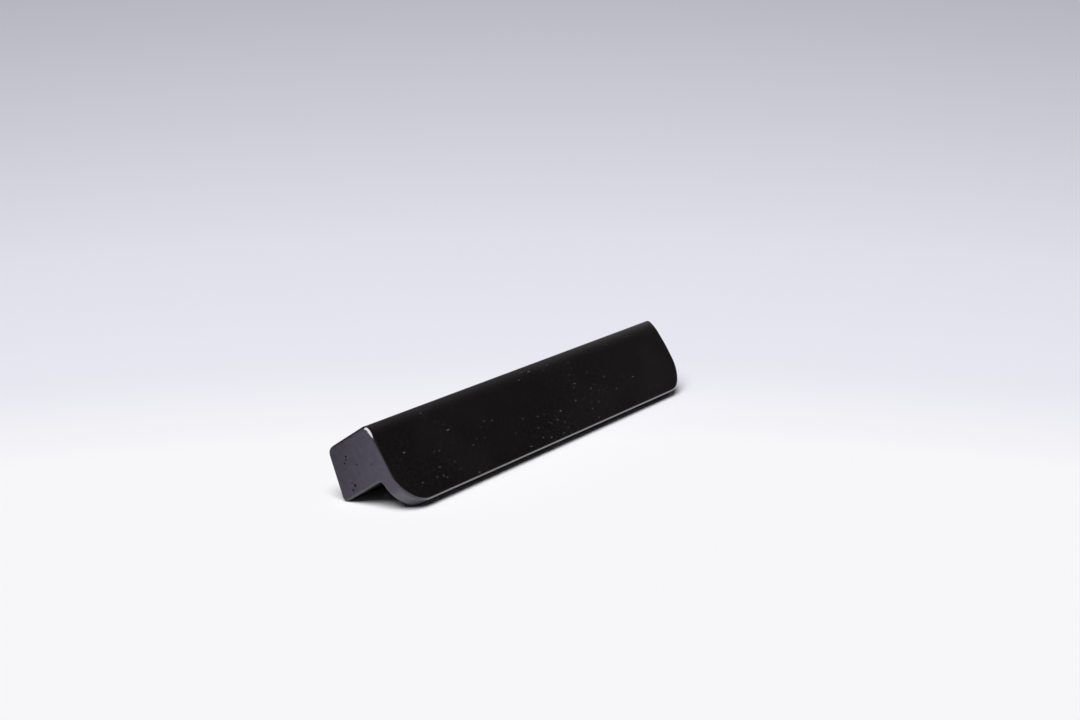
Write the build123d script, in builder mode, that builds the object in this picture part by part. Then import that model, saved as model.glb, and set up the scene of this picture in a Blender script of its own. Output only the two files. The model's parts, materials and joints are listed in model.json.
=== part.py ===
"""Black wooden lip handle for a drawer or a cabinet door.

One length of wood with a thick block along the top and a thin lip that hangs below it.
The block's rear face goes against the cabinet front, and the fingers reach up behind the lip.
Two threaded brass inserts sit flush in the rear face and take the screws.

The handle lies at rest as it does on a table: on the heel edge of the block and on the
toe of the lip. X runs along the length and the front face looks to -Y and up.
"""

import os
from math import acos, atan2, cos, hypot, radians, sin, tan

from build123d import *

# Length and screws
length = 200.0
screw_spacing = 160.0

# Section, measured square to the front face and along it
top_depth = 22.0
block_height = 20.0
rear_lean = 13.0
lip_drop = 13.0
lip_thickness = 6.4
lip_corner_radius = 13.0

# Roundings of the long edges, and the easing of every other edge
top_front_radius = 3.5
top_rear_radius = 3.0
heel_radius = 2.0
notch_radius = 1.5
edge_radius = 1.5

# Threaded inserts, and the pilot holes that hold them
insert_radius = 4.0
insert_length = 10.0
thread_radius = 1.65
mouth_radius = 2.3
mouth_depth = 1.6
slot_width = 1.2
slot_depth = 1.1
insert_clearance = 0.02
pilot_spare_depth = 2.0

# The section's sharp corners, with x out of the front face and y up along it
front_height = block_height + lip_drop
heel_depth = top_depth + block_height * tan(radians(rear_lean))
top_front = (0, 0)
top_rear = (-top_depth, 0)
heel = (-heel_depth, -block_height)
notch = (-lip_thickness, -block_height)
toe_rear = (-lip_thickness, -front_height)
toe_front = (0, -front_height)

# Centres of the roundings that touch the table and that reach furthest to each side
heel_tangent = heel_radius / tan(radians(90 - rear_lean) / 2)
heel_centre = Vector(heel[0] + heel_tangent, heel[1] + heel_radius)
toe_rear_centre = Vector(toe_rear[0] + edge_radius, toe_rear[1] + edge_radius)
toe_front_centre = Vector(toe_front[0] - edge_radius, toe_front[1] + edge_radius)
top_rear_tangent = top_rear_radius / tan(radians(90 + rear_lean) / 2)
top_rear_centre = Vector(top_rear[0] + top_rear_tangent, top_rear[1] - top_rear_radius)

# The tilt at which heel and toe stand on one level
stride = toe_rear_centre - heel_centre
stride_length = hypot(stride.X, stride.Y)
rest_tilt = atan2(stride.Y, stride.X) + acos((edge_radius - heel_radius) / stride_length)
outward = Vector(0, -sin(rest_tilt), cos(rest_tilt))
tilted = Plane(origin=(0, 0, 0), x_dir=outward, z_dir=(-1, 0, 0))

# The section's plane, moved so that the table is at z = 0 and the depth is centred on y = 0
front_y = tilted.from_local_coords(toe_front_centre).Y - edge_radius
rear_y = tilted.from_local_coords(top_rear_centre).Y + top_rear_radius
table_z = tilted.from_local_coords(heel_centre).Z - heel_radius
section_plane = Plane(
    origin=(0, -(front_y + rear_y) / 2, -table_z), x_dir=outward, z_dir=(-1, 0, 0)
)
front_plane = Plane(origin=section_plane.origin, x_dir=(1, 0, 0), z_dir=outward)

# The rear face's own plane, looking out of the wood at the middle of its height
rear_middle = section_plane.from_local_coords(
    Vector((top_rear[0] + heel[0]) / 2, (top_rear[1] + heel[1]) / 2)
)
rear_outward = section_plane.from_local_coords(
    Vector(-cos(radians(rear_lean)), sin(radians(rear_lean)))
) - section_plane.origin
rear_plane = Plane(origin=rear_middle, x_dir=(1, 0, 0), z_dir=rear_outward)

# Directions for picking edges: through the lip from rear to front, and up along the front face
through_lip = Axis(section_plane.origin, section_plane.x_dir)
up_front = Axis(section_plane.origin, section_plane.y_dir)


# The wood: one long section, cut round at the lip's lower corners, with every edge eased
with BuildPart() as handle:
    with BuildSketch(section_plane) as section:
        with BuildLine():
            Polyline(top_front, top_rear, heel, notch, toe_rear, toe_front, close=True)
        make_face()
        for corner, radius in (
            (top_front, top_front_radius),
            (top_rear, top_rear_radius),
            (heel, heel_radius),
            (notch, notch_radius),
        ):
            fillet(section.vertices().sort_by_distance(corner)[0], radius)
    extrude(amount=length / 2, both=True)

    with BuildSketch(front_plane) as front_outline:
        with Locations((0, -front_height / 2)):
            Rectangle(length, front_height)
        fillet(front_outline.vertices().group_by(Axis.Y)[0], lip_corner_radius)
    extrude(amount=-heel_depth, mode=Mode.INTERSECT)

    end_edges = handle.edges().filter_by(Axis.X, reverse=True)
    lip_seams = end_edges.filter_by(through_lip).filter_by_position(through_lip, -lip_thickness, 0)
    toe_edges = handle.edges().filter_by(Axis.X).group_by(up_front)[0]
    fillet(end_edges - lip_seams + toe_edges, edge_radius)

    with Locations(rear_plane):
        with GridLocations(screw_spacing, 0, 2, 1):
            Hole(insert_radius + insert_clearance, insert_length + pilot_spare_depth)

handle.part.label = "handle"

os.makedirs("parts", exist_ok=True)
export_step(handle.part, "parts/handle.step")


# The inserts: flush with the rear face, with a screwdriver slot across the mouth
for name, side in (("insert_left", -1), ("insert_right", 1)):
    seat = Plane(
        origin=rear_middle + Vector(side * screw_spacing / 2, 0, 0),
        x_dir=(1, 0, 0),
        z_dir=rear_outward,
    )
    with BuildPart(seat) as insert:
        Cylinder(insert_radius, insert_length, align=(Align.CENTER, Align.CENTER, Align.MAX))
        CounterBoreHole(thread_radius, mouth_radius, mouth_depth)
        Box(
            2 * insert_radius,
            slot_width,
            slot_depth,
            align=(Align.CENTER, Align.CENTER, Align.MAX),
            mode=Mode.SUBTRACT,
        )

    insert.part.label = name
    export_step(insert.part, f"parts/{name}.step")
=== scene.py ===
"""A black lacquered wooden lip handle with brass inserts, on a pale table in a plain studio."""

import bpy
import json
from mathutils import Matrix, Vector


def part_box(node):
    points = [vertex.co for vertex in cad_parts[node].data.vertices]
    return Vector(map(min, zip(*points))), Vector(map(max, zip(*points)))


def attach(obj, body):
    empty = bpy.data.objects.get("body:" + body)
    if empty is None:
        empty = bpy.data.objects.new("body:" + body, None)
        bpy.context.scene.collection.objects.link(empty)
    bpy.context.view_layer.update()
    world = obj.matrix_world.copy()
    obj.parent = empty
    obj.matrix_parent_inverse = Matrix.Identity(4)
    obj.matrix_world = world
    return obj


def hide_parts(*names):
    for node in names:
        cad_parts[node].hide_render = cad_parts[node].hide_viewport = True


bl_info = {
    "name": "Wooden lip handle",
    "version": (1, 0, 0),
    "blender": (4, 5, 0),
    "location": "View3D > Sidebar > Lip Handle",
    "description": "Models a lacquered wooden cabinet handle and the table that it lies on",
    "category": "Add Mesh",
}

import json
import math

import bpy
from bpy.props import FloatProperty, FloatVectorProperty, PointerProperty
from mathutils import Vector
from mathutils.geometry import delaunay_2d_cdt

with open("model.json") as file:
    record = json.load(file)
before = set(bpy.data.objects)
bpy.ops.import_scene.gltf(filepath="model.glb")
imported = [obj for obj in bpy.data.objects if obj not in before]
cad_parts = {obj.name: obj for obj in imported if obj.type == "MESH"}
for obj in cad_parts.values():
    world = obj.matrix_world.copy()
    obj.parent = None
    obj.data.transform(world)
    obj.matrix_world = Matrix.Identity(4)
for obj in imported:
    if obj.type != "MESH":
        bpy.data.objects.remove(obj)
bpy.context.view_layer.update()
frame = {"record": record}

MM = 0.001
ALONG = Vector((1, 0, 0))
QUARTER = math.pi / 2

# Closeness: the grid on which corners of faces join, by its steps to the metre, the distance up
# to which places are one, the least gap between rows behind the lip, and a guard against zero
JOIN_STEPS = 1e7
TOUCH = 0.01 * MM
LEAST_GAP = 0.1 * MM
TINY = 1e-12

# How finely the meshes are cut
FACE_LENGTH = 1 * MM
TOP_FRONT_STEPS = 20
LONG_EDGE_STEPS = 14
CORNER_STEPS = 16
TURN_STEPS = 10
LIP_STEPS = 6
WINDOW_STEPS = 4
RING_STEPS = 48
LAND_STEPS = 24
SLOT_STEPS = 3
FLOOR_STEPS = 4
THREAD_STEPS = 10

# Inner reaches of the top front edge's curve, as shares of its outer ones
FRONT_INNER = 0.28
TOP_INNER = 0.2

# How slowly the other long edges run out: 1 is close to an arc
TOP_REAR_STRETCH = 1.5
HEEL_STRETCH = 1
NOTCH_STRETCH = 1.6

# Where the end's edge changes its radius, in spans across the section and up it, and the share
# of its crest that it loses again at the very top
FRONT_SPAN = (-3 * MM, -0.5 * MM)
CREST_SPAN = (-6.5 * MM, -2 * MM)
CREST_FALL = (-2.6 * MM, 0)
CREST_LOSS = 0.5
LOW_SPAN = (-5 * MM, -14 * MM)
BEND_SPAN = (-12 * MM, -26 * MM)
BEND_END = -28 * MM

# Open pits in the two ends, by side: across, up, radius and depth in millimetres
END_PITS = {
    -1: (
        (-15.2, -5.9, 0.55, 0.22),
        (-15.9, -7.0, 0.42, 0.16),
        (-17.2, -7.8, 0.52, 0.22),
        (-17.5, -16.4, 0.78, 0.42),
        (-18.3, -15.2, 0.38, 0.16),
        (-19.3, -17.5, 0.62, 0.32),
        (-12.3, -10.4, 0.40, 0.14),
        (-6.1, -13.0, 0.34, 0.10),
    ),
    1: (
        (-7.8, -4.6, 0.46, 0.20),
        (-12.6, -12.9, 0.70, 0.34),
        (-13.9, -13.9, 0.42, 0.18),
        (-20.8, -9.7, 0.56, 0.24),
        (-17.0, -17.1, 0.46, 0.20),
        (-5.2, -16.2, 0.34, 0.12),
    ),
}

# Rings of each pit's mesh, how much room the end's grid leaves it and how much of it is painted
# dark as shade in the pit, as shares of its radius, and how much room that grid leaves the
# outline, as a share of its spacing
PIT_SIDES = 12
PIT_RINGS = (0.25, 0.5, 0.75, 1.0, 1.3)
PIT_ROOM = 1.7
PIT_PAINTED_SHADE = 0.8
OUTLINE_ROOM = 0.6

# How steep the thread's flanks are: above 1 its crests are flat
THREAD_FLANK = 1.25

# What tells the wood's parts apart: spans of its normal's parts and, for the lip, of the height
# over the finger gap. Then how dull the lip's corners are
END_SPAN = (0.7, 0.95)
CORNER_SPAN = (0.05, 0.25)
BESIDE_SPAN = (0.88, 0.05)
TOE_SPAN = (0.95, 0.995)
LIP_SPAN = (-1.5 * MM, -3.5 * MM)
CORNER_DULLNESS = 0.6

# Texture cells to the metre, for pores and fibres along the grain and twice across it, and for
# the lacquer's patches and the end grain's mottle
PORE_CELLS = (225, 900, 900)
FIBRE_CELLS = (12, 900, 900)
PATCH_CELLS = 38
MOTTLE_CELLS = 420

# Open pores: radius as a share of a cell, soft rim as a share of the radius, strength, and the
# share of cells that hold one over a span of crowding, which also grows towards the toe
PORE_RADIUS = (0.13, 0.27)
PORE_RIM = (0.85, 0.4)
PORE_STRENGTH = (0.25, 1)
PORE_SHARE = (0.06, 0.5)
CROWDING_SPAN = (0.38, 0.62)
TOEWARD_SPAN = (14 * MM, -6 * MM)
TOEWARD_CROWDING = 0.08

# Haze in the lacquer's patches, painted light that makes the end grain lighter towards the
# front, and the end grain's lighter tone by mottle
HAZE_SPAN = (0.45, 0.7)
HAZE = 0.018
PAINTED_FRONT_SPAN = (14 * MM, -8 * MM)
PAINTED_FRONT_LIGHT = 0.8
MOTTLE_SPAN = (0.3, 0.7)
MOTTLE_TONE = 0.3

# Relief of the fibres and the mottle, as shares of the pores', and of them all
FIBRE_RELIEF = 0.12
MOTTLE_RELIEF = 0.8
RELIEF_STRENGTH = 0.35
RELIEF_DEPTH = 0.06 * MM

# The table's painted falloff of light, which makes it greyer with distance: the distance at
# which half of its fall is done, the shares of the fall at its four colours, and the span of
# distance over which it is far off all round
TONE_HALFWAY = 0.7
TONE_STOPS = (0, 0.155, 0.39, 1)
FAR_SPAN = (1.5, 8)

# Spans of the view's direction up, along the handle and to its rear, for what the lacquer mirrors
HORIZON_SPAN = (0.2, 0)
RIGHTMOST_SPAN = (0.805, 0.86)
REARWARD_SPAN = (-0.5, 0.1)

# Soft panels that it mirrors: direction, cosines of the rim and of the full middle, level
BEHIND_CAMERA_RISE = 0.6
CAMERA_PANEL = (0.55, 0.95, 0.08)
RIGHT_PANEL_TOWARD = Vector((0.78, 0.2, 0.58))
RIGHT_PANEL = (0.78, 1.0, 0.07)


def mount(name):
    """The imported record's mount of this name."""
    return next(m for m in frame["record"]["mounts"] if m["name"] == name)


def length_property(name, description, default):
    """A length in metres."""
    return FloatProperty(
        name=name, description=description, default=default, min=0, unit="LENGTH", precision=5
    )


def angle_property(name, description, default):
    """An angle, with its default in degrees."""
    return FloatProperty(
        name=name, description=description, default=math.radians(default), unit="ROTATION"
    )


def colour_property(name, description, default):
    """A linear colour."""
    return FloatVectorProperty(
        name=name, description=description, default=default, min=0, max=1, subtype="COLOR", size=3
    )


def factor_property(name, description, default):
    """A share from 0 to 1."""
    return FloatProperty(
        name=name, description=description, default=default, min=0, max=1, subtype="FACTOR"
    )


class HandleShape(bpy.types.PropertyGroup):
    """Sizes of the wooden handle."""

    length: length_property("Length", "End to end", 2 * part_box("handle")[1][0])
    screw_spacing: length_property(
        "Screw spacing",
        "Between the two screws",
        mount("screw_hole_right")["pos_m"][0] - mount("screw_hole_left")["pos_m"][0],
    )
    top_depth: length_property("Top depth", "Front face to rear face at the top", 22 * MM)
    block_height: length_property("Block height", "Top face to finger gap", 20 * MM)
    rear_lean: angle_property("Rear lean", "Rear face to front face", 13)
    lip_drop: length_property("Lip drop", "Finger gap to the lip's toe", 13 * MM)
    lip_thickness: length_property("Lip thickness", "Through the lip", 6.4 * MM)
    lip_corner: length_property("Lip corner", "Radius of the lip's lower corners", 13.5 * MM)
    top_front: length_property("Top front edge", "Reach of its rounding over the top", 3.5 * MM)
    front_fall: length_property("Front fall", "Reach of that rounding down the front", 6.5 * MM)
    top_rear: length_property("Top rear edge", "Radius of this long edge", 3 * MM)
    heel: length_property("Heel edge", "Radius of this long edge", 2 * MM)
    notch: length_property("Notch", "Radius in the corner of the finger gap", 1.5 * MM)
    end_edge: length_property("End edge", "Radius of the edges round each end", 1.5 * MM)
    top_corner: length_property("Top corner", "Radius of the end edge at the top front", 2.4 * MM)
    toe_front: length_property("Lip front edge", "Radius at its ends and its toe", 0.85 * MM)
    corner_front: length_property("Corner front edge", "Radius round the lip's corner", 1.5 * MM)
    pilot_radius: length_property("Pilot radius", "Radius of the insert holes", 4.02 * MM)
    pilot_depth: length_property("Pilot depth", "Depth of the insert holes", 12 * MM)
    pilot_chamfer: length_property("Pilot chamfer", "Broken edge of the insert holes", 0.15 * MM)


class InsertShape(bpy.types.PropertyGroup):
    """Sizes of the threaded brass inserts."""

    radius: length_property("Radius", "Outside of the insert", 4 * MM)
    length: length_property("Length", "Top to bottom", 10 * MM)
    thread_core: length_property("Thread core", "Radius inside the thread's crests", 1.65 * MM)
    thread_root: length_property("Thread root", "Radius at the thread's roots", 2.02 * MM)
    thread_pitch: length_property("Thread pitch", "Crest to crest", 0.7 * MM)
    mouth_radius: length_property("Mouth radius", "Plain mouth above the thread", 2.3 * MM)
    mouth_depth: length_property("Mouth depth", "Depth of the plain mouth", 1.6 * MM)
    slot_width: length_property("Slot width", "Screwdriver slot", 1.2 * MM)
    slot_depth: length_property("Slot depth", "Screwdriver slot", 1.1 * MM)
    chamfer: length_property("Chamfer", "Broken edges of the top face", 0.15 * MM)


class HandleFinish(bpy.types.PropertyGroup):
    """Colours and roughness of the wood and of the inserts."""

    lacquer: colour_property("Lacquer", "Black lacquer on the long grain", (0.0052, 0.0040, 0.0042))
    pore: colour_property("Pore", "Open pores in the lacquer", (0.165, 0.15, 0.15))
    # The end grain's colours: mottle mixes them, and so does painted light that lightens the front
    end_dark: colour_property("End grain, dark", "Its darker parts", (0.012, 0.008, 0.020))
    end_light: colour_property("End grain, light", "Its lighter parts", (0.056, 0.050, 0.078))
    brass: colour_property("Brass", "Bare brass of the inserts", (0.72, 0.53, 0.26))
    gloss_roughness: factor_property("Gloss roughness", "Of the wood's long faces", 0.22)
    dull_roughness: factor_property("Dull roughness", "Of the wood's ends", 0.55)
    coat_roughness: factor_property("Coat roughness", "Of the lacquer's top coat", 0.12)
    coat_ior: FloatProperty(name="Coat IOR", description="Of the same coat", default=1.8, min=1)
    pore_roughness: factor_property("Pore roughness", "Of the pits in the end grain", 0.8)
    brass_roughness: factor_property("Brass roughness", "Of the inserts", 0.28)


class StudioStage(bpy.types.PropertyGroup):
    """Camera, table, lamp and room."""

    lens: FloatProperty(name="Lens", description="Focal length", default=60.0, unit="CAMERA")
    sensor: FloatProperty(name="Sensor", description="Its width", default=36.0, unit="CAMERA")
    azimuth: angle_property("Azimuth", "Camera's heading, from +Y towards +X", 56.743)
    elevation: angle_property("Elevation", "Camera's downward look", 14.145)
    distance: length_property("Distance", "Camera to the point that it looks at", 0.71119)
    aim: FloatVectorProperty(
        name="Aim",
        description="Point that the camera looks at",
        default=(0.0067, -0.00251, 0.03128),
        subtype="TRANSLATION",
        size=3,
    )
    # Colours of the table, painted darker with distance as a painted falloff of light
    table_near: colour_property("Table, near", "Up to the handle", (0.955, 0.955, 0.975))
    table_middle: colour_property("Table, middle", "Thirteen centimetres on", (0.83, 0.83, 0.905))
    table_back: colour_property("Table, back", "Half a metre on", (0.76, 0.76, 0.85))
    table_far: colour_property("Table, far", "At the horizon", (0.41, 0.41, 0.47))
    table_size: length_property("Table size", "Side of the square top", 40.0)
    lamp_strength: FloatProperty(name="Lamp strength", description="In W/m2", default=3.34, min=0)
    lamp_spread: angle_property("Lamp spread", "How wide the lamp looks from the table", 48)
    lamp_from: FloatVectorProperty(
        name="Lamp from",
        description="Direction in which the lamp stands",
        default=(-0.44, -0.08, 0.90),
        subtype="DIRECTION",
        size=3,
    )
    room_tint: colour_property("Room tint", "Colour of the room's light", (1, 0.955, 0.99))
    room_light: factor_property("Room light", "Plain light from all sides", 0.02)
    horizon_glow: factor_property("Horizon glow", "Mirrored low all round", 0.3)
    far_glow: factor_property("Far glow", "Mirrored behind the far end", 0.105)
    backdrop_share: factor_property("Backdrop", "Its tone against the far table's", 0.95)


def smooth(value, start, end):
    """Goes from 0 at start to 1 at end, level at both."""
    share = max(0, min(1, (value - start) / (end - start)))
    return share * share * (3 - 2 * share)


def arc_reach(turn, radius, stretch=1):
    """Outer and inner reach of a curve that passes a corner where an arc of this radius would. A
    stretch above 1 lets it run out more slowly."""
    outer = stretch * radius * math.tan(turn / 2)
    return outer, outer * (4 / (stretch * (1 + math.cos(turn / 2))) - 1) / 3


def rounded(corner, back, ahead, near, far, steps):
    """Points and outward normals round a corner of the section, on a cubic Bezier curve. It leaves
    the two sides at their outer reaches and is pulled towards the corner by their inner ones."""
    a, b = (corner + back * reach for reach in near)
    d, c = (corner + ahead * reach for reach in far)
    for step in range(steps + 1):
        t = step / steps
        s = 1 - t
        point = a * s**3 + b * 3 * s * s * t + c * 3 * s * t * t + d * t**3
        heading = (b - a) * s * s + (c - b) * 2 * s * t + (d - c) * t * t
        yield point, Vector((heading.y, -heading.x)).normalized()


class HandleForm:
    """The handle's section and outline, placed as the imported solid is. A place in the section is
    (across, up): out of the front face, and up along it."""

    def __init__(self, shape):
        self.shape = shape
        self.half = shape.length / 2
        self.height = shape.block_height + shape.lip_drop
        self.corner_up = shape.lip_corner - self.height
        self.toe_half = self.half - shape.lip_corner
        self.lip = -shape.lip_thickness
        self.lip_start = -shape.block_height - 2 * shape.notch
        lean = shape.rear_lean
        self.rear_normal = Vector((-math.cos(lean), math.sin(lean)))
        self.top_rear = Vector((-shape.top_depth, 0))
        heel_depth = shape.top_depth + shape.block_height * math.tan(lean)
        self.heel = Vector((-heel_depth, -shape.block_height))
        self.notch = Vector((self.lip, -shape.block_height))
        self.rear_middle = (self.top_rear + self.heel) / 2

        back = mount("back_face")
        rear = Vector(back["axis"])
        turned = Vector((0, rear.z, -rear.y))
        self.outward = -rear * math.cos(lean) - turned * math.sin(lean)
        self.upward = Vector((0, self.outward.z, -self.outward.y))
        self.origin = Vector(back["pos_m"]) - self.vector(0, *self.rear_middle)

    def vector(self, along, across, up):
        return ALONG * along + self.outward * across + self.upward * up

    def point(self, along, across, up):
        return self.origin + self.vector(along, across, up)

    def rim(self, up):
        """Where the end is along the handle at this height, and its outward normal (along, up)."""
        if up >= self.corner_up:
            return self.half, Vector((1, 0))
        radius = self.shape.lip_corner
        sine = min(1, (self.corner_up - up) / radius)
        cosine = math.sqrt(1 - sine * sine)
        return self.toe_half + radius * cosine, Vector((cosine, -sine))

    def end_edge(self, place):
        """Radius of the end's edge at this place of the section: fullest just under the top front
        edge, crisp down the front face, and fuller again round the lip's corner."""
        shape = self.shape
        crest = smooth(place.y, *CREST_SPAN) * (1 - CREST_LOSS * smooth(place.y, *CREST_FALL))
        low = smooth(place.y, *LOW_SPAN)
        bend = smooth(place.y, *BEND_SPAN) * (1 - smooth(place.y, BEND_END, -self.height))
        change = crest * (shape.top_corner - shape.end_edge)
        change += low * (shape.toe_front - shape.end_edge)
        change += bend * (shape.corner_front - shape.toe_front)
        return shape.end_edge + smooth(place.x, *FRONT_SPAN) * change

    def corner_heights(self):
        """Heights of the rows round the lip's corner, from the toe up to the corner's start."""
        sines = [math.sin(QUARTER * k / CORNER_STEPS) for k in range(CORNER_STEPS + 1)]
        heights = {self.corner_up - self.shape.lip_corner * sine for sine in sines}
        heights.add(self.lip_start)
        return sorted(heights)

    def rows(self):
        """Places and normals round the section, from the toe's front over the top and the rear to
        the toe's rear, and the numbers of the first and last row of the rear face."""
        shape = self.shape
        marks = (
            Vector((0, -self.height)),
            Vector((0, 0)),
            self.top_rear,
            self.heel,
            self.notch,
            Vector((self.lip, -self.height)),
        )
        headings = [(end - start).normalized() for start, end in zip(marks, marks[1:])]
        front = shape.front_fall, FRONT_INNER * shape.front_fall
        top = shape.top_front, TOP_INNER * shape.top_front
        edges = [(front, top, TOP_FRONT_STEPS)]
        arcs = (
            (shape.top_rear, TOP_REAR_STRETCH),
            (shape.heel, HEEL_STRETCH),
            (shape.notch, NOTCH_STRETCH),
        )
        for before, after, arc in zip(headings[1:], headings[2:], arcs):
            reach = arc_reach(before.angle(after), *arc)
            edges.append((reach, reach, LONG_EDGE_STEPS))

        corner = self.corner_heights()
        rows = [(Vector((0, up)), Vector((1, 0))) for up in corner]
        starts, ends = [], []
        for mark, before, after, edge in zip(marks[1:], headings, headings[1:], edges):
            curve = list(rounded(mark, -before, after, *edge))
            start, (end, normal) = rows[-1][0], curve[0]
            count = max(2, round((end - start).length / FACE_LENGTH))
            rows += [(start.lerp(end, k / count), normal) for k in range(1, count)]
            starts.append(len(rows))
            rows += curve
            ends.append(len(rows) - 1)
        low = [up for up in reversed(corner) if up < rows[-1][0].y - LEAST_GAP]
        rows += [(Vector((self.lip, up)), Vector((-1, 0))) for up in low]
        return rows, ends[1], starts[2]

    def edge_ray(self, row, turn, side):
        """Outward normal of the end's edge in this row: turn 0 is on the section's own surface,
        and a quarter turn is on the end."""
        place, face = row
        rim = self.rim(place.y)[1]
        face_normal = self.vector(0, *face)
        rim_normal = self.vector(side * rim.x, 0, rim.y)
        return face_normal * math.cos(turn) + rim_normal * math.sin(turn)

    def edge(self, row, turn, side):
        """A point of the end's edge in this row, by the same turns."""
        place, face = row
        end, rim = self.rim(place.y)
        corner = self.vector(side * rim.x, face.x, face.y + rim.y)
        offset = self.end_edge(place) * (self.edge_ray(row, turn, side) - corner)
        return self.point(side * end, *place) + offset


class Skin:
    """Gathers faces whose corners carry their own normals, and joins corners that meet."""

    def __init__(self):
        self.points = []
        self.places = {}
        self.faces = []
        self.normals = []
        self.slots = []

    def index(self, point):
        """Number of this point, which it shares with any other at the same place."""
        key = tuple(round(value * JOIN_STEPS) for value in point)
        if key not in self.places:
            self.places[key] = len(self.points)
            self.points.append(point)
        return self.places[key]

    def face(self, corners, slot=0):
        """Adds a face of (point, normal) corners, turned the way that its normals look."""
        kept = []
        for point, normal in corners:
            index = self.index(point)
            if all(index != other for other, _ in kept):
                kept.append((index, normal))
        if len(kept) < 3:
            return
        a, b, c = (self.points[index] for index, _ in kept[:3])
        if (b - a).cross(c - a).dot(sum((normal for _, normal in kept), Vector((0, 0, 0)))) < 0:
            kept.reverse()
        self.faces.append([index for index, _ in kept])
        self.normals.extend(normal for _, normal in kept)
        self.slots.append(slot)

    def patch(self, rows, keep=None):
        """Lays quads between rows of (point, normal), where keep says so."""
        for i, (low, high) in enumerate(zip(rows, rows[1:])):
            for j in range(len(low) - 1):
                if keep is None or keep(i, j):
                    self.face([low[j], low[j + 1], high[j + 1], high[j]])

    def build(self, name, *materials):
        """Makes the gathered faces into an object of the scene."""
        mesh = bpy.data.meshes.new(name)
        mesh.from_pydata(self.points, [], self.faces)
        for material in materials:
            mesh.materials.append(material)
        mesh.polygons.foreach_set("material_index", self.slots)
        mesh.polygons.foreach_set("use_smooth", [True] * len(mesh.polygons))
        mesh.normals_split_custom_set(self.normals)
        piece = bpy.data.objects.new(name, mesh)
        bpy.context.scene.collection.objects.link(piece)
        return piece


def with_normals(grid, rays):
    """Pairs each point of a grid with the normal of the surface through its neighbours, on the
    side that its ray looks to."""
    last_row, last = len(grid) - 1, len(grid[0]) - 1
    paired = []
    for i, row in enumerate(grid):
        band = []
        for j, point in enumerate(row):
            up = grid[min(i + 1, last_row)][j] - grid[max(i - 1, 0)][j]
            along = row[min(j + 1, last)] - row[max(j - 1, 0)]
            normal = up.cross(along).normalized()
            band.append((point, normal if normal.dot(rays[i][j]) > 0 else -normal))
        paired.append(band)
    return paired


def spread(start, end, spacing):
    """Evenly spread values from start up to end, with end left out."""
    count = max(1, round(abs(end - start) / spacing))
    return [start + (end - start) * k / count for k in range(count)]


def handle_skin(form):
    """The whole outside of the wood, with its two pilot holes."""
    rows, rear_first, rear_last = form.rows()
    screw = form.shape.screw_spacing / 2
    window = form.toe_half - screw
    by_screw = spread(screw - window, form.toe_half, FACE_LENGTH) + [form.toe_half]
    amid = spread(window - screw, screw - window, 2 * FACE_LENGTH)
    columns = [-x for x in reversed(by_screw)] + amid[1:] + by_screw
    turns = [QUARTER * k / TURN_STEPS for k in range(TURN_STEPS + 1)]

    skin = Skin()
    grid = []
    for row in rows:
        end = form.edge(row, 0, 1)
        step = (end.x - form.toe_half) / LIP_STEPS
        beyond = [form.toe_half + step * k for k in range(1, LIP_STEPS + 1)]
        places = [-x for x in reversed(beyond)] + columns + beyond
        normal = form.vector(0, *row[1])
        grid.append([(Vector((x, end.y, end.z)), normal) for x in places])

    def outside_windows(i, j):
        middle_x = (grid[i][j][0].x + grid[i][j + 1][0].x) / 2
        return not rear_first <= i < rear_last or abs(abs(middle_x) - screw) > window

    skin.patch(grid, outside_windows)
    for side in (-1, 1):
        lay_end_edge(skin, form, rows, turns, side)
        lay_lip_corner(skin, form, rows, side)
        lay_end(skin, form, rows, side)
        lay_pilot(skin, form, grid[rear_first : rear_last + 1], side * screw, window)
    lay_toe(skin, form, columns, turns)
    return skin


def lay_end_edge(skin, form, rows, turns, side):
    """The rounded edge between one end and the sides of the section."""
    points = [[form.edge(row, turn, side) for turn in turns] for row in rows]
    rays = [[form.edge_ray(row, turn, side) for turn in turns] for row in rows]
    edge = with_normals(points, rays)
    for i, band in enumerate(edge):
        whole = i in (0, len(edge) - 1)
        for j in range(len(band)) if whole else (0, len(band) - 1):
            band[j] = (band[j][0], rays[i][j])
    skin.patch(edge)


def lay_lip_corner(skin, form, rows, side):
    """The lip's rounded lower corner, between its front and rear edges."""
    low = [row for row in rows if row[0].y < form.lip_start + TOUCH]
    front = [row for row in low if row[0].x == 0]
    rear = [row for row in reversed(low) if row[0].x == form.lip]
    strips = []
    for near, far in zip(front, rear):
        rim = form.rim(near[0].y)[1]
        normal = form.vector(side * rim.x, 0, rim.y)
        start, end = form.edge(near, QUARTER, side), form.edge(far, QUARTER, side)
        strips.append([(start.lerp(end, k / LIP_STEPS), normal) for k in range(LIP_STEPS + 1)])
    skin.patch(strips)


def lay_toe(skin, form, columns, turns):
    """The toe with its front and rear edges, between the lip's corners."""
    down = form.vector(0, 0, -1)
    shape = form.shape
    rims = []
    for across, sign, radius in ((0, 1, shape.toe_front), (form.lip, -1, shape.end_edge)):
        face = form.vector(0, sign, 0)
        rim = []
        for turn in turns:
            ray = face * math.cos(turn) + down * math.sin(turn)
            offset = radius * (ray - face - down)
            rim.append([(form.point(x, across, -form.height) + offset, ray) for x in columns])
        skin.patch(rim)
        rims.append(rim[-1])
    pairs = list(zip(*rims))
    shares = [k / LIP_STEPS for k in range(LIP_STEPS + 1)]
    skin.patch([[(a.lerp(b, share), down) for (a, _), (b, _) in pairs] for share in shares])


def pit_places(centre, radius):
    """The middle of a pit, and the rings of places round it."""
    yield centre
    for ring, share in enumerate(PIT_RINGS, 1):
        for k in range(PIT_SIDES):
            angle = math.tau * (k + ring / 2) / PIT_SIDES
            yield centre + radius * share * Vector((math.cos(angle), math.sin(angle)))


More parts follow.
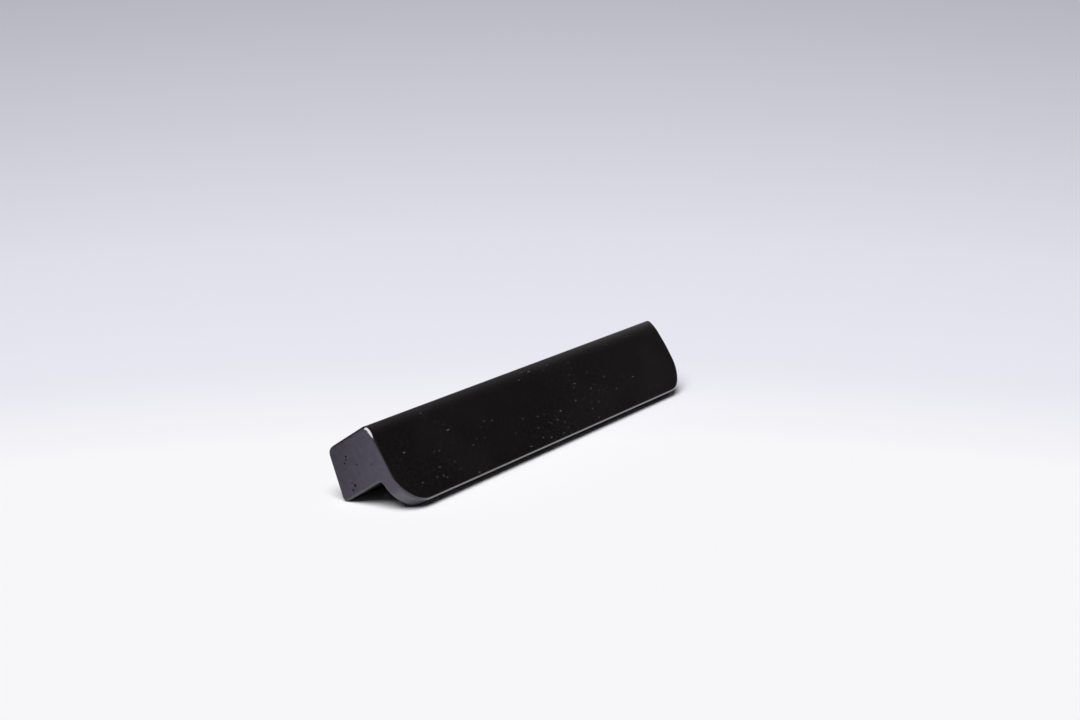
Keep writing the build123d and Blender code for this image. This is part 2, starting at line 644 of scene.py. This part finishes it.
def sink(place, pits):
    """How deep the pits go at this place of the end, and how they lean its normal there."""
    depth, lean = 0, Vector((0, 0))
    for centre, radius, deepest in pits:
        away = (place - centre) / radius
        bowl = max(0, 1 - away.length_squared)
        depth += deepest * bowl * bowl
        lean -= 4 * deepest / radius * bowl * away
    return depth, lean


def lay_end(skin, form, rows, side):
    """The flat end of the block and of the lip's upper part, with open pits in the end grain."""
    outline = []
    for row in rows:
        if row[0].y > form.lip_start - TOUCH:
            place = form.edge(row, QUARTER, side) - form.origin
            outline.append(Vector((place.dot(form.outward), place.dot(form.upward))))
    pits = [(Vector((a, u)) * MM, r * MM, d * MM) for a, u, r, d in END_PITS[side]]
    inside = [place for centre, radius, _ in pits for place in pit_places(centre, radius)]
    for place in grid_inside(outline, FACE_LENGTH):
        if all((place - centre).length > PIT_ROOM * radius for centre, radius, _ in pits):
            inside.append(place)
    count = len(outline)
    borders = [(k, (k + 1) % count) for k in range(count)]
    places, _, faces, *_ = delaunay_2d_cdt(outline + inside, borders, [], 1, 1 / JOIN_STEPS)
    corners = []
    for place in places:
        end, rim = form.rim(place.y)
        depth, lean = sink(place, pits)
        normal = form.vector(side * rim.x, lean.x, lean.y + rim.y).normalized()
        corners.append((form.point(side * (end - depth), *place), normal))
    for face in faces:
        middle = sum((places[index] for index in face), Vector((0, 0))) / len(face)
        # Painted shade: faces in the middle of each pit get the dark material, as shade in the hole
        dark = any((middle - centre).length < PIT_PAINTED_SHADE * radius for centre, radius, _ in pits)
        skin.face([corners[index] for index in face], slot=int(dark))


def grid_inside(outline, spacing):
    """Evenly spaced places well inside an outline."""
    room = OUTLINE_ROOM * spacing
    xs = [place.x for place in outline]
    ys = [place.y for place in outline]
    pairs = list(zip(outline, outline[1:] + outline[:1]))
    found = []
    for x in spread(min(xs), max(xs), spacing):
        for y in spread(min(ys), max(ys), spacing):
            here = Vector((x, y))
            crossings = sum(
                (a.y > y) != (b.y > y) and x < a.x + (b.x - a.x) * (y - a.y) / (b.y - a.y)
                for a, b in pairs
            )
            if crossings % 2 and min(gap(here, a, b) for a, b in pairs) > room:
                found.append(here)
    return found


def gap(place, start, end):
    """Distance from a place to a line between two others."""
    line = end - start
    share = max(0, min(1, (place - start).dot(line) / max(line.length_squared, TINY)))
    return (place - start - line * share).length


def lay_pilot(skin, form, rear_rows, screw_x, window):
    """A drilled pilot hole, with the window of the rear face that it stands in."""
    shape = form.shape
    frames = []
    for row in rear_rows:
        frames.append([point for point, _ in row if abs(point.x - screw_x) < window + TOUCH])
    loop = frames[0] + [row[-1] for row in frames[1:-1]] + frames[-1][::-1]
    loop += [row[0] for row in frames[-2:0:-1]]
    loop.append(loop[0])
    normal = form.vector(0, *form.rear_normal)
    centre = form.point(screw_x, *form.rear_middle)
    rays = [(point - centre).normalized() for point in loop]

    def ring(radius, depth):
        return [centre + radius * ray - depth * normal for ray in rays]

    mouth = ring(shape.pilot_radius + shape.pilot_chamfer, 0)
    chamfer = ring(shape.pilot_radius, shape.pilot_chamfer)
    floor = ring(shape.pilot_radius, shape.pilot_depth)
    shares = [k / WINDOW_STEPS for k in range(WINDOW_STEPS + 1)]
    skin.patch([[(a.lerp(b, share), normal) for a, b in zip(loop, mouth)] for share in shares])
    slopes = [(normal - ray).normalized() for ray in rays]
    skin.patch([list(zip(mouth, slopes)), list(zip(chamfer, slopes))])
    walls = [-ray for ray in rays]
    skin.patch([list(zip(chamfer, walls)), list(zip(floor, walls))])
    skin.face([(point, normal) for point in floor])


class Lathe:
    """Lays bands of faces round an axis that goes up through a centre."""

    def __init__(self, centre, axis):
        self.skin = Skin()
        self.centre = centre
        self.axis = axis
        self.side = axis.cross(ALONG)

    def ray(self, angle):
        return ALONG * math.cos(angle) + self.side * math.sin(angle)

    def point(self, radius, height, angle):
        return self.centre + self.ray(angle) * radius + self.axis * height

    def ring(self, radius, height, start=0, end=math.tau, steps=RING_STEPS):
        """Points and rays of a ring or of a part of one."""
        angles = [start + (end - start) * k / steps for k in range(steps + 1)]
        return [(self.point(radius, height, angle), self.ray(angle)) for angle in angles]

    def band(self, low, high, outward, upward):
        """Lays a band between two rings, with normals that look outward and upward so much."""
        bands = []
        for ring in (low, high):
            tilted = [(p, (r * outward + self.axis * upward).normalized()) for p, r in ring]
            bands.append(tilted)
        self.skin.patch(bands)


def insert_skin(shape, centre, axis):
    """A threaded insert whose top face is at centre, with the axis out of the wood."""
    lathe = Lathe(centre, axis)
    lay_land(lathe, shape, 0, -lathe.side)
    lay_land(lathe, shape, math.pi, lathe.side)
    lay_slot_floor(lathe, shape)
    lay_sleeve(lathe, shape)
    lay_thread(lathe, shape)
    return lathe.skin


def lay_land(lathe, shape, start, slotward):
    """The half of the insert's top on one side of the slot, with its two walls in the slot."""
    edge = shape.chamfer
    profile = (
        (shape.mouth_radius, -shape.slot_depth),
        (shape.mouth_radius, -edge),
        (shape.mouth_radius + edge, 0),
        (shape.radius - edge, 0),
        (shape.radius, -edge),
        (shape.radius, -shape.slot_depth),
    )
    facings = ((-1, 0), (-1, 1), (0, 1), (1, 1), (1, 0))
    rings = []
    for radius, height in profile:
        slot = math.asin(shape.slot_width / 2 / radius)
        end = start + math.pi - slot
        rings.append(lathe.ring(radius, height, start + slot, end, LAND_STEPS))
    for low, high, facing in zip(rings, rings[1:], facings):
        lathe.band(low, high, *facing)
    drops = [shape.slot_depth + height for _, height in profile[1:-1]]
    for column in (0, -1):
        tops = [ring[column][0] for ring in rings[1:-1]]
        feet = [top - lathe.axis * drop for top, drop in zip(tops, drops)]
        lathe.skin.patch([[(top, slotward) for top in tops], [(foot, slotward) for foot in feet]])


def lay_slot_floor(lathe, shape):
    """The floor of the screwdriver slot, on both sides of the mouth."""
    down = lathe.axis * shape.slot_depth
    wall = shape.radius - shape.mouth_radius
    for sign in (-1, 1):
        floor = []
        for k in range(-SLOT_STEPS, SLOT_STEPS + 1):
            across = shape.slot_width / 2 * k / SLOT_STEPS
            strip = []
            for step in range(FLOOR_STEPS + 1):
                radius = shape.mouth_radius + wall * step / FLOOR_STEPS
                along = sign * math.sqrt(radius * radius - across * across)
                place = lathe.centre + ALONG * along + lathe.side * across - down
                strip.append((place, lathe.axis))
            floor.append(strip)
        lathe.skin.patch(floor)


def lay_sleeve(lathe, shape):
    """The plain mouth with the shelf at its foot, the outside and the bottom."""
    mouth, root, outside = shape.mouth_radius, shape.thread_root, shape.radius
    slot, shelf, bottom = -shape.slot_depth, -shape.mouth_depth, -shape.length
    lathe.band(lathe.ring(mouth, slot), lathe.ring(mouth, shelf), -1, 0)
    lathe.band(lathe.ring(mouth, shelf), lathe.ring(root, shelf), 0, 1)
    lathe.band(lathe.ring(outside, slot), lathe.ring(outside, bottom), 1, 0)
    lathe.band(lathe.ring(outside, bottom), lathe.ring(root, bottom), 0, -1)


def lay_thread(lathe, shape):
    """The thread, from the shelf to the bottom."""
    depth = shape.thread_root - shape.thread_core
    rise = shape.thread_pitch / THREAD_STEPS
    helix = []
    for height in spread(-shape.mouth_depth, -shape.length, rise) + [-shape.length]:
        strip = []
        for k in range(RING_STEPS + 1):
            turn = (height / shape.thread_pitch + k / RING_STEPS) % 1
            crest = max(0, min(1, THREAD_FLANK * (1 - abs(4 * turn - 2))))
            radius = shape.thread_root - depth * crest
            strip.append(lathe.point(radius, height, math.tau * k / RING_STEPS))
        helix.append(strip)
    inward = [-lathe.ray(math.tau * k / RING_STEPS) for k in range(RING_STEPS + 1)]
    lathe.skin.patch(with_normals(helix, [inward] * len(helix)))


class Graph:
    """Adds shader nodes to a material or a world, and joins them by their sockets."""

    def __init__(self, owner):
        owner.use_nodes = True
        self.tree = owner.node_tree

    def add(self, kind, inputs=(), **settings):
        """Adds a node of this kind, with its settings and with values or links for its inputs."""
        node = self.tree.nodes.new(f"ShaderNode{kind}")
        for name, value in settings.items():
            setattr(node, name, value)
        self.set(node, dict(inputs))
        return node

    def set(self, node, inputs):
        for name, value in inputs.items():
            if isinstance(value, bpy.types.NodeSocket):
                self.tree.links.new(value, node.inputs[name])
            else:
                node.inputs[name].default_value = value

    def math(self, operation, *values):
        return self.add("Math", enumerate(values), operation=operation).outputs[0]

    def remap(self, value, start, end, low, high, **settings):
        inputs = {"Value": value, "From Min": start, "From Max": end, "To Min": low, "To Max": high}
        return self.add("MapRange", inputs, **settings).outputs[0]

    def step(self, value, start, end, low=0, high=1):
        """Goes softly from low, where the value is at start, to high, where it is at end."""
        return self.remap(value, start, end, low, high, interpolation_type="SMOOTHSTEP")

    def noise(self, place, scale, detail):
        inputs = {"Vector": place, "Scale": scale, "Detail": detail}
        return self.add("TexNoise", inputs).outputs["Fac"]

    def dot(self, vector, direction):
        inputs = {0: vector, 1: direction}
        return self.add("VectorMath", inputs, operation="DOT_PRODUCT").outputs["Value"]

    def mix(self, factor, low, high):
        """Mixes two colours, which are inputs 6 and 7 and output 2 of the node."""
        node = self.add("Mix", {0: factor}, data_type="RGBA")
        self.set(node, {6: low, 7: high})
        return node.outputs[2]

    def ramp(self, value, stops):
        node = self.add("ValToRGB", {"Fac": value})
        elements = node.color_ramp.elements
        while len(elements) < len(stops):
            elements.new(1)
        for element, (position, colour) in zip(elements, stops):
            element.position = position
            element.color = (*colour, 1)
        return node.outputs["Color"]


def end_grain(graph, form, level, normal):
    """Shares of end grain and of dullness. End grain is on the ends, and on the lip's rounded
    corners up to where they turn to the front face. The toe is dull but isn't end grain."""
    endward = graph.math("ABSOLUTE", graph.add("SeparateXYZ", {0: normal}).outputs["X"])
    down = graph.dot(normal, -form.upward)
    flat = graph.step(endward, *END_SPAN)
    under = graph.step(graph.math("MULTIPLY", endward, down), *CORNER_SPAN)
    on_lip = graph.step(level, *LIP_SPAN)
    beside = graph.step(graph.dot(normal, form.outward), *BESIDE_SPAN)
    lip_corner = graph.math("MULTIPLY", graph.math("MULTIPLY", under, on_lip), beside)
    rubbed = graph.math("MAXIMUM", flat, graph.step(down, *TOE_SPAN))
    dull = graph.math("MAXIMUM", rubbed, graph.math("MULTIPLY", under, CORNER_DULLNESS))
    return graph.math("MAXIMUM", flat, lip_corner), dull


def open_pores(graph, place, crowding):
    """How much each place shows of the open pores, which come where the crowding is high."""
    stretched = graph.add("Mapping", {"Vector": place, "Scale": PORE_CELLS}).outputs[0]
    cells = graph.add("TexVoronoi", {"Vector": stretched, "Scale": 1}).outputs
    chance = graph.add("SeparateColor", {0: cells["Color"]}).outputs
    radius = graph.remap(chance["Green"], 0, 1, *PORE_RADIUS)
    spot = graph.step(graph.math("DIVIDE", cells["Distance"], radius), *PORE_RIM)
    strength = graph.remap(chance["Blue"], 0, 1, *PORE_STRENGTH)
    share = graph.remap(crowding, *CROWDING_SPAN, *PORE_SHARE)
    chosen = graph.math("MULTIPLY", graph.math("LESS_THAN", chance["Red"], share), strength)
    return graph.math("MULTIPLY", spot, chosen)


def lacquered_wood(form, finish):
    """Black lacquer over open-pored wood, with duller and mottled end grain, and painted light
    that makes the end grain lighter towards the front.
    """
    material = bpy.data.materials.new("lacquered_wood")
    graph = Graph(material)
    coordinates = graph.add("TexCoord").outputs
    place = coordinates["Object"]
    gap_top = form.point(0, *form.notch).dot(form.upward)
    level = graph.math("SUBTRACT", graph.dot(place, form.upward), gap_top)
    ends, dull = end_grain(graph, form, level, coordinates["Normal"])

    patches = graph.noise(place, PATCH_CELLS, 1)
    lower = graph.step(level, *TOEWARD_SPAN, -TOEWARD_CROWDING, TOEWARD_CROWDING)
    pore = open_pores(graph, place, graph.math("ADD", patches, lower))
    haze = graph.step(patches, *HAZE_SPAN, 0, HAZE)
    lacquer = graph.mix(graph.math("ADD", haze, pore), (*finish.lacquer, 1), (*finish.pore, 1))

    mottle = graph.noise(place, MOTTLE_CELLS, 4)
    across = graph.add("SeparateXYZ", {0: place}).outputs["Y"]
    # Painted light: the end grain is painted lighter towards the front, as if lit more there
    painted_front_light = graph.remap(across, *PAINTED_FRONT_SPAN, 0, PAINTED_FRONT_LIGHT)
    tone = graph.math("ADD", painted_front_light, graph.remap(mottle, *MOTTLE_SPAN, 0, MOTTLE_TONE))
    end_colour = graph.mix(tone, (*finish.end_dark, 1), (*finish.end_light, 1))

    fibres = graph.add("Mapping", {"Vector": place, "Scale": FIBRE_CELLS}).outputs[0]
    grain = graph.noise(fibres, 1, 3)
    height = graph.math("SUBTRACT", graph.math("MULTIPLY", grain, FIBRE_RELIEF), pore)
    rough = graph.math("MULTIPLY", mottle, ends)
    height = graph.math("MULTIPLY_ADD", rough, MOTTLE_RELIEF, height)
    relief = {"Height": height, "Strength": RELIEF_STRENGTH, "Distance": RELIEF_DEPTH}
    bump = graph.add("Bump", relief).outputs[0]
    graph.set(
        graph.tree.nodes["Principled BSDF"],
        {
            "Base Color": graph.mix(ends, lacquer, end_colour),
            "Roughness": graph.remap(dull, 0, 1, finish.gloss_roughness, finish.dull_roughness),
            "Normal": bump,
            "Coat Weight": graph.remap(dull, 0, 1, 1, 0),
            "Coat Roughness": finish.coat_roughness,
            "Coat IOR": finish.coat_ior,
            "Coat Normal": bump,
        },
    )
    return material


def plain_material(name, inputs):
    """A material with the same values all over."""
    material = bpy.data.materials.new(name)
    graph = Graph(material)
    graph.set(graph.tree.nodes["Principled BSDF"], inputs)
    return material


def open_pore(finish):
    """The bottom of a pit in the end grain, painted dark as shade in the pit."""
    colour = (*finish.lacquer, 1)
    roughness = finish.pore_roughness
    inputs = {"Base Color": colour, "Roughness": roughness, "Specular IOR Level": 0.2}
    return plain_material("open_pore", inputs)


def turned_brass(finish):
    """Bare turned brass."""
    colour = (*finish.brass, 1)
    inputs = {"Base Color": colour, "Metallic": 1.0, "Roughness": finish.brass_roughness}
    return plain_material("turned_brass", inputs)


class LIPHANDLE_OT_wood(bpy.types.Operator):
    """Models the wooden handle in place of its plain solid"""

    bl_idname = "object.lip_handle_wood"
    bl_label = "Wooden handle"

    def execute(self, context):
        finish = context.scene.handle_finish
        form = HandleForm(context.scene.handle_shape)
        materials = lacquered_wood(form, finish), open_pore(finish)
        piece = handle_skin(form).build("lacquered_handle", *materials)
        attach(piece, "root")
        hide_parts("handle")
        return {"FINISHED"}


class LIPHANDLE_OT_inserts(bpy.types.Operator):
    """Models the two threaded inserts in place of their plain solids"""

    bl_idname = "object.lip_handle_inserts"
    bl_label = "Threaded inserts"

    def execute(self, context):
        scene = context.scene
        form = HandleForm(scene.handle_shape)
        axis = form.vector(0, *form.rear_normal)
        brass = turned_brass(scene.handle_finish)
        for name, side in (("left", -1), ("right", 1)):
            screw_x = side * scene.handle_shape.screw_spacing / 2
            skin = insert_skin(scene.insert_shape, form.point(screw_x, *form.rear_middle), axis)
            piece = skin.build(f"threaded_insert_{name}", brass)
            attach(piece, "root")
            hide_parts(f"insert_{name}")
        return {"FINISHED"}


def table_material(studio):
    """A white table top with a painted falloff of light: it greys with distance behind the handle,
    and far off all round.
    """
    material = bpy.data.materials.new("pale_table")
    graph = Graph(material)
    place = graph.add("TexCoord").outputs["Object"]
    turned = graph.add("Mapping", {"Vector": place, "Rotation": (0, 0, studio.azimuth - QUARTER)})
    axes = graph.add("SeparateXYZ", {0: turned.outputs[0]})
    bow = graph.math("MULTIPLY", axes.outputs["Y"], axes.outputs["Y"])
    behind = graph.math("MAXIMUM", graph.math("ADD", axes.outputs["X"], bow), 0)
    share = graph.math("DIVIDE", behind, graph.math("ADD", behind, TONE_HALFWAY))
    reach = graph.add("VectorMath", {0: place}, operation="LENGTH").outputs["Value"]
    share = graph.math("MAXIMUM", share, graph.step(reach, *FAR_SPAN))
    colours = (studio.table_near, studio.table_middle, studio.table_back, studio.table_far)
    inputs = {
        "Base Color": graph.ramp(share, list(zip(TONE_STOPS, colours))),
        "Roughness": 1.0,
        "Specular IOR Level": 0.0,
    }
    graph.set(graph.tree.nodes["Principled BSDF"], inputs)
    return material


def studio_world(studio):
    """A dim room. Its backdrop is seen, and a glow low all round, a glow behind the far end and
    soft panels behind the camera and to the right are mirrored. None of them gives light."""
    world = bpy.data.worlds.new("studio")
    graph = Graph(world)
    view = graph.add("TexCoord").outputs["Generated"]
    axes = graph.add("SeparateXYZ", {0: view}).outputs
    rays = graph.add("LightPath").outputs
    mirrored = graph.step(axes["Z"], *HORIZON_SPAN, 0, studio.horizon_glow)
    rightmost = graph.step(axes["X"], *RIGHTMOST_SPAN)
    rearward = graph.step(axes["Y"], *REARWARD_SPAN, 0, studio.far_glow)
    mirrored = graph.math("MULTIPLY_ADD", rightmost, rearward, mirrored)
    turn = studio.azimuth
    behind_camera = Vector((-math.sin(turn), -math.cos(turn), BEHIND_CAMERA_RISE))
    panels = ((behind_camera, CAMERA_PANEL), (RIGHT_PANEL_TOWARD, RIGHT_PANEL))
    for toward, (rim, middle, level) in panels:
        glow = graph.step(graph.dot(view, toward.normalized()), rim, middle, 0, level)
        mirrored = graph.math("ADD", mirrored, glow)
    mirrors = graph.math("MAXIMUM", rays["Is Glossy Ray"], rays["Is Transmission Ray"])
    strength = graph.math("MULTIPLY_ADD", mirrored, mirrors, studio.room_light)
    seen = rays["Is Camera Ray"]
    backdrop = (*(studio.backdrop_share * value for value in studio.table_far), 1)
    inputs = {
        "Color": graph.mix(seen, (*studio.room_tint, 1), backdrop),
        "Strength": graph.math("MAXIMUM", strength, seen),
    }
    graph.set(graph.tree.nodes["Background"], inputs)
    return world


def set_table(scene, studio):
    """A square table top under the handle."""
    half = studio.table_size / 2
    mesh = bpy.data.meshes.new("table")
    corners = [(-half, -half, 0), (half, -half, 0), (half, half, 0), (-half, half, 0)]
    mesh.from_pydata(corners, [], [(0, 1, 2, 3)])
    mesh.materials.append(table_material(studio))
    table = bpy.data.objects.new("table", mesh)
    scene.collection.objects.link(table)


def set_camera(scene, studio):
    """The scene's camera, which looks at its aim from a distance."""
    camera_data = bpy.data.cameras.new("camera")
    camera_data.lens = studio.lens
    camera_data.sensor_width = studio.sensor
    camera = bpy.data.objects.new("camera", camera_data)
    scene.collection.objects.link(camera)
    level = math.cos(studio.elevation)
    forward = Vector(
        (
            math.sin(studio.azimuth) * level,
            math.cos(studio.azimuth) * level,
            -math.sin(studio.elevation),
        )
    )
    camera.location = Vector(studio.aim) - forward * studio.distance
    camera.rotation_euler = forward.to_track_quat("-Z", "Y").to_euler()
    scene.camera = camera


def set_lamp(scene, studio):
    """A wide soft lamp overhead."""
    lamp_data = bpy.data.lights.new("overhead_softbox", "SUN")
    lamp_data.energy = studio.lamp_strength
    lamp_data.angle = studio.lamp_spread
    lamp = bpy.data.objects.new("overhead_softbox", lamp_data)
    lamp.rotation_euler = Vector(studio.lamp_from).to_track_quat("Z", "Y").to_euler()
    scene.collection.objects.link(lamp)


class LIPHANDLE_OT_stage(bpy.types.Operator):
    """Sets the table, the camera, the lamp and the room"""

    bl_idname = "object.lip_handle_stage"
    bl_label = "Table, camera, lamp and room"

    def execute(self, context):
        scene = context.scene
        studio = scene.studio_stage
        set_table(scene, studio)
        set_camera(scene, studio)
        set_lamp(scene, studio)
        scene.world = studio_world(studio)
        scene.view_settings.view_transform = "Standard"
        return {"FINISHED"}


class LIPHANDLE_PT_sidebar(bpy.types.Panel):
    """Lists the steps in the 3D view's sidebar"""

    bl_idname = "LIPHANDLE_PT_sidebar"
    bl_label = "Lip Handle"
    bl_space_type = "VIEW_3D"
    bl_region_type = "UI"
    bl_category = "Lip Handle"

    def draw(self, context):
        layout = self.layout
        for operator in OPERATORS:
            layout.operator(operator.bl_idname)


GROUPS = (HandleShape, InsertShape, HandleFinish, StudioStage)
OPERATORS = (LIPHANDLE_OT_wood, LIPHANDLE_OT_inserts, LIPHANDLE_OT_stage)
CLASSES = (*GROUPS, *OPERATORS, LIPHANDLE_PT_sidebar)


def register():
    for cls in CLASSES:
        bpy.utils.register_class(cls)
    bpy.types.Scene.handle_shape = PointerProperty(type=HandleShape)
    bpy.types.Scene.insert_shape = PointerProperty(type=InsertShape)
    bpy.types.Scene.handle_finish = PointerProperty(type=HandleFinish)
    bpy.types.Scene.studio_stage = PointerProperty(type=StudioStage)


def unregister():
    del bpy.types.Scene.studio_stage
    del bpy.types.Scene.handle_finish
    del bpy.types.Scene.insert_shape
    del bpy.types.Scene.handle_shape
    for cls in reversed(CLASSES):
        bpy.utils.unregister_class(cls)


def main():
    register()
    bpy.ops.object.lip_handle_wood()
    bpy.ops.object.lip_handle_inserts()
    bpy.ops.object.lip_handle_stage()


if __name__ == "__main__":
    main()
